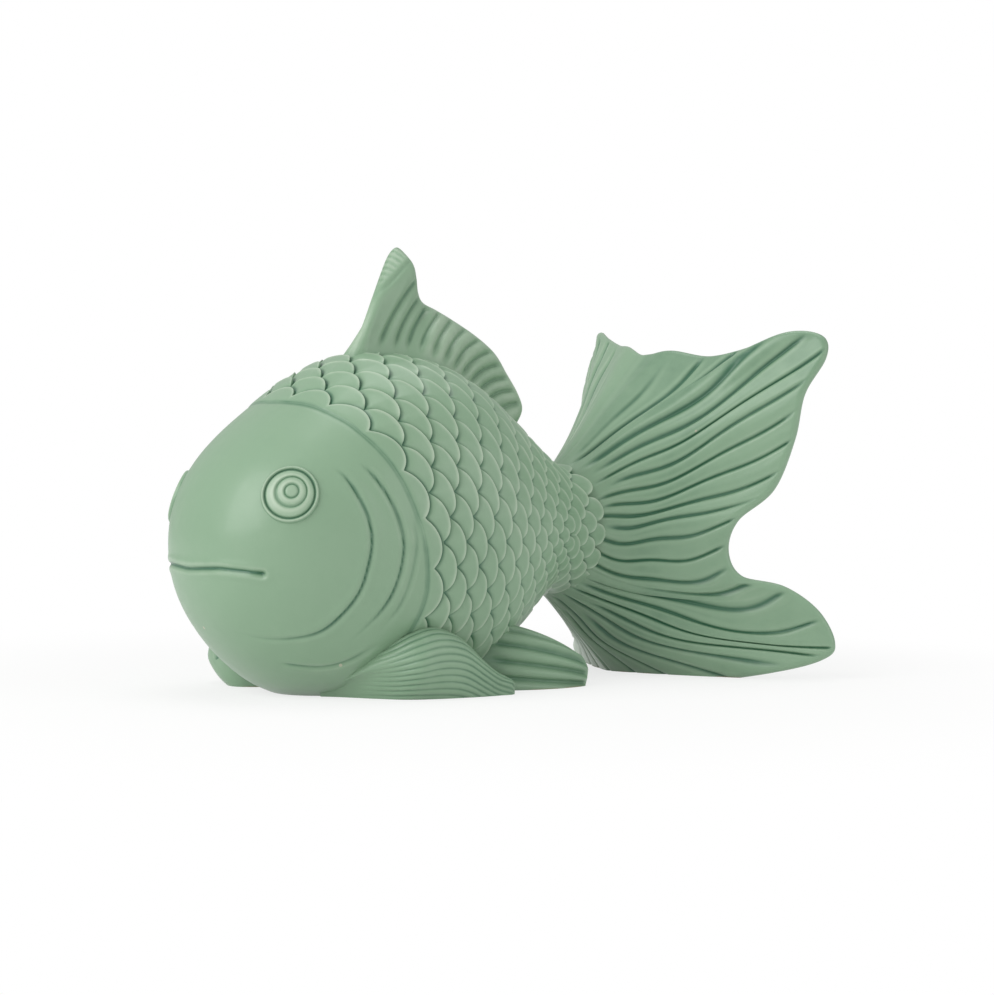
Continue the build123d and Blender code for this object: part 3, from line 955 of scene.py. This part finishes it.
def dorsal_fold(points):
    """Leans the tip of the front lobe away along a slanting line."""
    lean = 0.9 * np.logaddexp(0, fold_depth(points) / 1.2)
    return points + np.stack([0.7 * lean, lean, 0 * lean], axis=-1)


def dorsal_wander(share, out):
    """Sideways drift of the back fin's rays, in shares of its length."""
    return -0.045 * np.sin(math.pi * out)


def dorsal_relief(ray, share, out, span, rim_gap, points):
    """Carving of the back fin in millimetres, and its glaze, with painted light on its rear part and on its
    leaning tip.
    """
    part = ray - np.floor(ray) - 0.5
    off = part * span
    free = smooth_step(2.5, 9.0, above_back(points)) * smooth_step(1.0, 4.5, rim_gap)
    past = fold_depth(points)
    front = 1 - smooth_step(0.52, 0.56, share)
    fade = free * smooth_step(0.27, 0.30, share) * (1 - smooth_step(-2.0, 0.0, past))
    groove = np.exp(-((off / 1.0) ** 2)) * fade
    swell = np.cos(2 * math.pi * part) * fade
    valley = np.exp(-(((share - 0.52) / 0.022) ** 2))
    valley = valley * smooth_step(0.25, 0.8, out) * smooth_step(0.5, 4, rim_gap)
    leaf = smooth_step(0.0, 2.5, past) * smooth_step(0.3, 1.6, rim_gap)
    vein = (points[..., 0] * 0.79 + points[..., 2] * 0.613) / 3.4
    vein = np.exp(-(((vein - np.floor(vein) - 0.5) * 3.4 / 0.55) ** 2)) * leaf
    crease = np.exp(-((past / 0.7) ** 2)) * smooth_step(0.3, 2.0, rim_gap)
    carve = -0.90 * groove - (0.20 + 0.22 * (1 - front)) * swell - 1.3 * valley - 0.40 * vein - 0.45 * crease
    seam = np.exp(-((above_back(points) / 2.2) ** 2))
    # Painted light: the fin's rear part, behind the front lobe, is made paler where it lies in shade; the
    # root seam holds pooled glaze.
    glaze = (
        0.36 - 0.08 * (1 - front) + 0.36 * groove + 0.12 * valley + 0.24 * seam
        - 0.10 * np.exp(-((rim_gap / 1.4) ** 2))
    )
    # Vein and crease grooves hold more glaze; the tip past the fold is made paler, painted light where it
    # faces up.
    glaze = glaze + 0.24 * vein + 0.16 * crease - 0.08 * leaf
    return carve, glaze


def dorsal_thickness(share, out, points):
    """Thickness of the back fin in millimetres, thicker at its foot and front."""
    base = np.exp(-np.maximum(above_back(points), 0) / 5.0)
    return 6.4 - 1.6 * out + 7.0 * base + 2.6 * np.exp(-((share / 0.16) ** 2)) * (1 - 0.6 * out)


def tail_rows(side):
    """Root, middle and edge rows of one tail half."""
    f = form()
    x0 = 0.935 * mm(f.body_length) - mm(f.nose_reach)
    row = smooth_row(STATION_SHARES, place_at_x(np.array([x0])))[0]
    half = row[1] * mm(f.body_width) / 2
    centre = (row[2] + row[4]) / 2 * mm(f.body_height)
    reach = (row[2] - row[4]) / 2 * mm(f.body_height)
    last = len(TAIL_EDGE) - 1
    root, middle, edge = [], [], []
    for index, (back, out, up) in enumerate(TAIL_EDGE):
        angle = 1.16 * math.pi * (index / last - 0.5)
        foot = np.array([
            x0 - 0.10 * mm(f.tail_length) * (1 + math.sin(angle)) - 7.0 * max(0.0, -math.sin(angle)) ** 2,
            side * 0.60 * half * math.cos(angle),
            centre - 0.80 * reach * math.sin(angle),
        ])
        if side > 0:
            up = up + 0.042 * math.exp(-(((index - 3.4) / 1.5) ** 2)) * smooth_step(0.8, 2.4, index)
        tip = np.array(
            [x0 + back * mm(f.tail_length), side * out * mm(f.tail_span) / 2, up * mm(f.tail_height)]
        )
        mid = (foot + tip) / 2
        mid[1] = foot[1] + 0.36 * (tip[1] - foot[1])
        mid[2] -= 9 * math.exp(-(((index - 14) / 1.3) ** 2))
        root.append(foot)
        edge.append(tip)
        middle.append(mid)
    return root, middle, edge


def tail_wander(share, out):
    """Sideways drift of the tail's rays: they sag, waver and draw to the lower tip."""
    sag = 0.042 * np.sin(math.pi * out)
    wave = 0.008 * np.sin(3.4 * math.pi * out + 9 * share) * np.sin(math.pi * out)
    draw = 0.045 * np.exp(-(((share - 0.80) / 0.06) ** 2)) * smooth_step(0.35, 1.0, out)
    return sag + wave - draw


def tail_relief(ray, share, out, span, rim_gap, points):
    """Carving of a tail half in millimetres, and its glaze, with painted light on the far half and a painted
    highlight along the ridges.
    """
    part = ray - np.floor(ray) - 0.5
    off = part * span
    number = np.floor(ray)
    odd = number % 2
    room = smooth_step(1.6 + 1.6 * odd, 2.8 + 2.2 * odd, span)
    stop = 3.5 + 2.5 * (number % 3)
    fade = room * smooth_step(0.08, 0.20, out) * smooth_step(0.4, stop, rim_gap)
    fade = fade * smooth_step(0.10, 0.13, share)
    groove = np.exp(-((off / 0.80) ** 2)) * fade
    swell = np.cos(2 * math.pi * part) * fade
    shoulder = np.exp(-(((np.abs(off) - 1.9) / 0.9) ** 2)) * fade
    carve = -0.95 * groove - 0.20 * swell + 0.14 * shoulder
    # Painted highlight: paler along the top and bottom ridges where the two tail halves meet.
    painted_ridge_highlight = np.exp(-((points[..., 1] / 2.2) ** 2))
    # Darker across the middle of each tail half, between root and edge, and towards its top.
    darker_middle_and_top = np.exp(-(((out - 0.50) / 0.16) ** 2)) + 1.1 * smooth_step(118, 148, points[..., 2])
    # Painted light: the far tail half is made paler, as if lit from the front-left.
    far = smooth_step(0, 8, points[..., 1])
    glaze = 0.49 + 0.44 * groove - 0.14 * shoulder - 0.10 * np.exp(-((rim_gap / 1.0) ** 2)) - 0.14 * painted_ridge_highlight
    return carve, glaze + 0.10 * darker_middle_and_top - 0.20 * far


def tail_thickness(share, out, points):
    """Thickness of a tail half in millimetres."""
    return 6.0 - 1.2 * out + 3.0 * np.exp(-((out / 0.15) ** 2))


def side_rows(table, side, start_share, length, height):
    """A row of points of a rear fin from its table of shares."""
    f = form()
    start = start_share * mm(f.body_length) - mm(f.nose_reach)
    return [np.array([start + a * length, side * o * mm(f.body_width) / 2, u * height]) for a, o, u in table]


def pelvic_wander(share, out):
    """Sideways drift of a rear fin's rays."""
    return 0.02 * np.sin(math.pi * out)


def pelvic_relief(ray, share, out, span, rim_gap, points):
    """Carving of a rear fin in millimetres, and its glaze."""
    part = ray - np.floor(ray) - 0.5
    off = part * span
    fade = smooth_step(0.03, 0.2, out) * smooth_step(1.0, 5.0, rim_gap)
    groove = np.exp(-((off / 1.2) ** 2)) * fade
    swell = np.cos(2 * math.pi * part) * fade
    carve = -1.0 * groove - 0.6 * swell
    glaze = (
        0.39 + 0.32 * groove + 0.24 * np.exp(-((out / 0.18) ** 2))
        - 0.12 * np.exp(-((rim_gap / 1.4) ** 2))
    )
    return carve, glaze


def pelvic_thickness(share, out, points):
    """Thickness of a rear fin in millimetres."""
    return 9.0 + 2.0 * np.exp(-((out / 0.2) ** 2))


def make_pectoral(name, side):
    """A front fin: a lobe that lies along the floor, with wavy lines carved along it."""
    f = form()
    segments, visible = 240, 150
    rings = visible + 4
    piece, ring, segment = tube_start(name, segments, rings)
    start = 0.195 * mm(f.body_length) - mm(f.nose_reach)
    table = PECTORAL_SECTIONS[side]
    sections = []
    for along, inner, neck, crest, top, foot in table:
        x = start + along * mm(f.pectoral_length)
        tuck = 0.6 * (1 - smooth_step(0.18, 0.45, along)) if side < 0 else 0.0
        wall = crest - tuck * (crest - foot)
        ring_points = (
            (inner, neck), (crest - 0.14, top), (crest, 0.8 * top), (wall, 0.4 * top), (foot, -0.13),
            (inner, -0.13),
        )
        wide, tall = side * mm(f.body_width) / 2, mm(f.pectoral_height)
        sections.append([(x, o * wide, u * tall) for o, u in ring_points])
    sections = np.asarray(sections, float)
    order = np.concatenate([sections[:, -1:], sections, sections[:, :2]], axis=1)
    v = np.arange(segments) / segments * 6
    i = np.floor(v).astype(int)
    g = (v - i)[None, :, None]
    a, b, c, d = order[:, i], order[:, i + 1], order[:, i + 2], order[
        :, np.minimum(i + 3, order.shape[1] - 1)
    ]
    curves = 0.5 * (2 * b + (c - a) * g + (2 * a - 5 * b + 4 * c - d) * g**2 + (3 * b - a - 3 * c + d) * g**3)
    first_share, last_share = table[0][0], table[-1][0]
    share = first_share + (last_share - first_share) * rounded_steps(visible, 0.6)
    along = np.interp(share, [row[0] for row in table], np.arange(len(table)))
    points = smooth_row(curves.reshape(len(curves), -1), along).reshape(visible + 1, segments, 3)
    centre = points.mean(axis=1, keepdims=True)
    front = np.minimum((share - first_share) / (0.10 if side < 0 else 0.24), 1)
    rear = np.minimum((last_share - share) / 0.05, 1)
    plump = np.sqrt(np.clip(1 - (1 - front) ** 2, 0, 1)) * np.sqrt(np.clip(1 - (1 - rear) ** 2, 0, 1))
    points = centre + (points - centre) * (0.12 + 0.88 * plump)[:, None, None]
    normals = grid_normals(points)
    if np.sum(normals * (points - centre)) < 0:
        normals = -normals
    walk = np.cumsum(np.linalg.norm(np.diff(points, axis=1, append=points[:, :1]), axis=-1), axis=1)
    crest = walk[:, int(segments * 0.9 / 6)][:, None]
    tall = np.ptp(points[..., 2], axis=1)[:, None]
    spread = 0.45 + 0.55 * tall / tall.max()
    down = (walk - crest) / spread
    lines = (down + 0.8 * np.sin(share * 11.0)[:, None] * smooth_step(2, 12, down)) / 3.3
    off = (lines - np.floor(lines) - 0.5) * 3.3 * spread
    face = smooth_step(0.2, 0.5, lines) * smooth_step(0, 0.3, 4.2 - v)[None, :]
    face = face * smooth_step(0.22, 0.40, share)[:, None]
    groove = np.exp(-((off / 0.62) ** 2)) * face
    height = -0.5 * groove
    seam = np.exp(-(((v - 0.1) / 0.45) ** 2))[None, :]
    glaze = 0.40 + 0.34 * groove + 0.45 * seam - 0.12 * np.exp(-((down / 1.6) ** 2)) + 0 * points[..., 0]
    points = points + normals * height[..., None]
    first = np.tile(points[0].mean(axis=0)[None, :], (segments, 1))
    final = np.tile(points[-1].mean(axis=0)[None, :], (segments, 1))
    near_first, near_final = (first + points[0]) / 2, (final + points[-1]) / 2
    stack = np.concatenate([first[None], near_first[None], points, near_final[None], final[None]])
    depth = np.concatenate([np.full((2, segments), 0.5), glaze, np.full((2, segments), 0.4)])
    set_points(piece, stack[ring, segment])
    set_glaze_and_painted_light(piece, depth[ring, segment])
    close_sheet(piece, MERGE_GAP)
    cut_flat(piece, *FLOOR_CUT)
    return piece


class CELADON_OT_stage(bpy.types.Operator):
    """Lay the floor, hang the lamps and set the camera"""

    bl_idname = "celadon.stage"
    bl_label = "Stage"

    def execute(self, context):
        s = context.scene.fish_stage
        clear_selection()
        bpy.ops.mesh.primitive_circle_add(vertices=96, radius=6.0, fill_type="NGON", location=(0, 0, 0))
        floor = context.object
        floor.name = "floor"
        mat = bpy.data.materials.new("floor_white")
        mat.use_nodes = True
        tree = mat.node_tree
        tree.nodes.clear()
        out = tree.nodes.new("ShaderNodeOutputMaterial")
        paint = tree.nodes.new("ShaderNodeBsdfDiffuse")
        paint.inputs["Color"].default_value = (0.90, 0.90, 0.89, 1)
        glow = tree.nodes.new("ShaderNodeEmission")
        glow.inputs["Color"].default_value = (1, 1, 1, 1)
        path = tree.nodes.new("ShaderNodeLightPath")
        seen = tree.nodes.new("ShaderNodeMath")
        seen.operation = "MAXIMUM"
        tree.links.new(path.outputs["Is Camera Ray"], seen.inputs[0])
        tree.links.new(path.outputs["Is Glossy Ray"], seen.inputs[1])
        also = tree.nodes.new("ShaderNodeMath")
        also.operation = "MAXIMUM"
        tree.links.new(seen.outputs[0], also.inputs[0])
        tree.links.new(path.outputs["Is Transmission Ray"], also.inputs[1])
        coords = tree.nodes.new("ShaderNodeTexCoord")
        far = tree.nodes.new("ShaderNodeVectorMath")
        far.operation = "LENGTH"
        tree.links.new(coords.outputs["Object"], far.inputs[0])
        fade = tree.nodes.new("ShaderNodeMapRange")
        fade.interpolation_type = "SMOOTHSTEP"
        fade.inputs["From Min"].default_value = 0.15
        fade.inputs["From Max"].default_value = 0.38
        fade.inputs["To Min"].default_value = 0.74
        fade.inputs["To Max"].default_value = 1.0
        tree.links.new(far.outputs["Value"], fade.inputs["Value"])
        share = tree.nodes.new("ShaderNodeMath")
        share.operation = "MULTIPLY"
        tree.links.new(also.outputs[0], share.inputs[0])
        tree.links.new(fade.outputs["Result"], share.inputs[1])
        mix = tree.nodes.new("ShaderNodeMixShader")
        tree.links.new(share.outputs[0], mix.inputs[0])
        tree.links.new(paint.outputs[0], mix.inputs[1])
        tree.links.new(glow.outputs[0], mix.inputs[2])
        tree.links.new(mix.outputs[0], out.inputs["Surface"])
        floor.data.materials.append(mat)

        world = bpy.data.worlds.new("white_room")
        context.scene.world = world
        world.use_nodes = True
        tree = world.node_tree
        tree.nodes.clear()
        out = tree.nodes.new("ShaderNodeOutputWorld")
        room = tree.nodes.new("ShaderNodeBackground")
        room.inputs["Color"].default_value = (1, 1, 1, 1)
        path = tree.nodes.new("ShaderNodeLightPath")
        level = tree.nodes.new("ShaderNodeMapRange")
        level.inputs["To Min"].default_value = s.ambient
        level.inputs["To Max"].default_value = 1.0
        tree.links.new(path.outputs["Is Camera Ray"], level.inputs["Value"])
        tree.links.new(level.outputs["Result"], room.inputs["Strength"])
        tree.links.new(room.outputs[0], out.inputs["Surface"])

        powers = (s.key_power, s.fill_power, s.side_power)
        for (name, place, aim, size), power in zip(LAMPS, powers):
            clear_selection()
            bpy.ops.object.light_add(type="AREA", location=place)
            lamp = context.object
            lamp.name = name
            lamp.data.size = size
            lamp.data.energy = power
            lamp.rotation_euler = (Vector(aim) - Vector(place)).to_track_quat("-Z", "Y").to_euler()

        clear_selection()
        target = Vector(CAMERA_TARGET)
        turn, lift = math.radians(CAMERA_TURN), math.radians(CAMERA_LIFT)
        place = target + CAMERA_REACH * Vector(
            (math.sin(turn) * math.cos(lift), -math.cos(turn) * math.cos(lift), math.sin(lift))
        )
        bpy.ops.object.camera_add(location=place)
        camera = context.object
        camera.name = "camera"
        camera.rotation_euler = (target - place).to_track_quat("-Z", "Y").to_euler()
        camera.data.sensor_fit = "VERTICAL"
        camera.data.sensor_height = 36.0
        camera.data.sensor_width = 36.0
        camera.data.lens = s.lens
        context.scene.camera = camera
        context.scene.view_settings.view_transform = "Standard"
        return {"FINISHED"}


class CELADON_OT_body(bpy.types.Operator):
    """Model the smooth head and the scaled body"""

    bl_idname = "celadon.body"
    bl_label = "Head and Body"

    def execute(self, context):
        for piece in (make_head(), make_flanks()):
            finish_piece(piece, "body_shell", glaze_and_painted_light_material())
        return {"FINISHED"}


class CELADON_OT_eyes(bpy.types.Operator):
    """Model the two ringed eyes"""

    bl_idname = "celadon.eyes"
    bl_label = "Eyes"

    def execute(self, context):
        for name, side in (("left_eye", -1), ("right_eye", 1)):
            finish_piece(make_eye(name + "_rings", side), name, glaze_and_painted_light_material())
        return {"FINISHED"}


class CELADON_OT_dorsal_fin(bpy.types.Operator):
    """Model the fluted fin on the back"""

    bl_idname = "celadon.dorsal_fin"
    bl_label = "Dorsal Fin"

    def execute(self, context):
        piece = make_fin(
            "dorsal_fluted", dorsal_rows(), 16, 15, 90, dorsal_thickness, dorsal_relief, dorsal_wander,
            fold=dorsal_fold, soft=2.0
        )
        finish_piece(piece, "dorsal_fin", glaze_and_painted_light_material())
        return {"FINISHED"}


class CELADON_OT_tail_fins(bpy.types.Operator):
    """Model the two halves of the flared tail"""

    bl_idname = "celadon.tail_fins"
    bl_label = "Tail Fins"

    def execute(self, context):
        for name, side in (("left_tail", -1), ("right_tail", 1)):
            piece = make_fin(
                name + "_fluted", tail_rows(side), 25, 16, 100, tail_thickness, tail_relief, tail_wander,
                (False, False), even=0.62
            )
            cut_flat(piece, *FLOOR_CUT)
            cut_flat(piece, (0, 0, 0), (0, -side, 0))
            finish_piece(piece, name + "_fin", glaze_and_painted_light_material())
        return {"FINISHED"}


class CELADON_OT_pectoral_fins(bpy.types.Operator):
    """Model the two front fins that lie on the floor"""

    bl_idname = "celadon.pectoral_fins"
    bl_label = "Pectoral Fins"

    def execute(self, context):
        for name, side in (("left_pectoral", -1), ("right_pectoral", 1)):
            finish_piece(make_pectoral(name + "_lobe", side), name + "_fin", glaze_and_painted_light_material())
        return {"FINISHED"}


class CELADON_OT_pelvic_fins(bpy.types.Operator):
    """Model the two rear fins that lie on the floor"""

    bl_idname = "celadon.pelvic_fins"
    bl_label = "Pelvic Fins"

    def execute(self, context):
        f = form()
        size = (0.58, mm(f.pelvic_length), mm(f.pelvic_height))
        for name, side in (("left_pelvic", -1), ("right_pelvic", 1)):
            rows = [side_rows(table, side, *size) for table in (PELVIC_ROOT, PELVIC_MIDDLE, PELVIC_EDGE)]
            piece = make_fin(
                name + "_fluted", rows, 5, 22, 80, pelvic_thickness, pelvic_relief, pelvic_wander,
                (True, False)
            )
            cut_flat(piece, *FLOOR_CUT)
            finish_piece(piece, name + "_fin", glaze_and_painted_light_material())
        return {"FINISHED"}


OPERATORS = (
    CELADON_OT_stage, CELADON_OT_body, CELADON_OT_eyes, CELADON_OT_dorsal_fin, CELADON_OT_tail_fins,
    CELADON_OT_pectoral_fins, CELADON_OT_pelvic_fins,
)


class CELADON_PT_panel(bpy.types.Panel):
    """Lists the pieces of the fish in the sidebar"""

    bl_idname = "CELADON_PT_panel"
    bl_label = "Celadon Fish"
    bl_space_type = "VIEW_3D"
    bl_region_type = "UI"
    bl_category = "Celadon Fish"

    def draw(self, context):
        for operator in OPERATORS:
            self.layout.operator(operator.bl_idname)


CLASSES = (FishForm, FishGlaze, FishStage) + OPERATORS + (CELADON_PT_panel,)


def register():
    for cls in CLASSES:
        bpy.utils.register_class(cls)
    bpy.types.Scene.fish_form = PointerProperty(type=FishForm)
    bpy.types.Scene.fish_glaze = PointerProperty(type=FishGlaze)
    bpy.types.Scene.fish_stage = PointerProperty(type=FishStage)


def unregister():
    del bpy.types.Scene.fish_stage
    del bpy.types.Scene.fish_glaze
    del bpy.types.Scene.fish_form
    for cls in reversed(CLASSES):
        bpy.utils.unregister_class(cls)


def main():
    register()
    bpy.ops.celadon.stage()
    bpy.ops.celadon.body()
    bpy.ops.celadon.eyes()
    bpy.ops.celadon.dorsal_fin()
    bpy.ops.celadon.tail_fins()
    bpy.ops.celadon.pectoral_fins()
    bpy.ops.celadon.pelvic_fins()


if __name__ == "__main__":
    main()
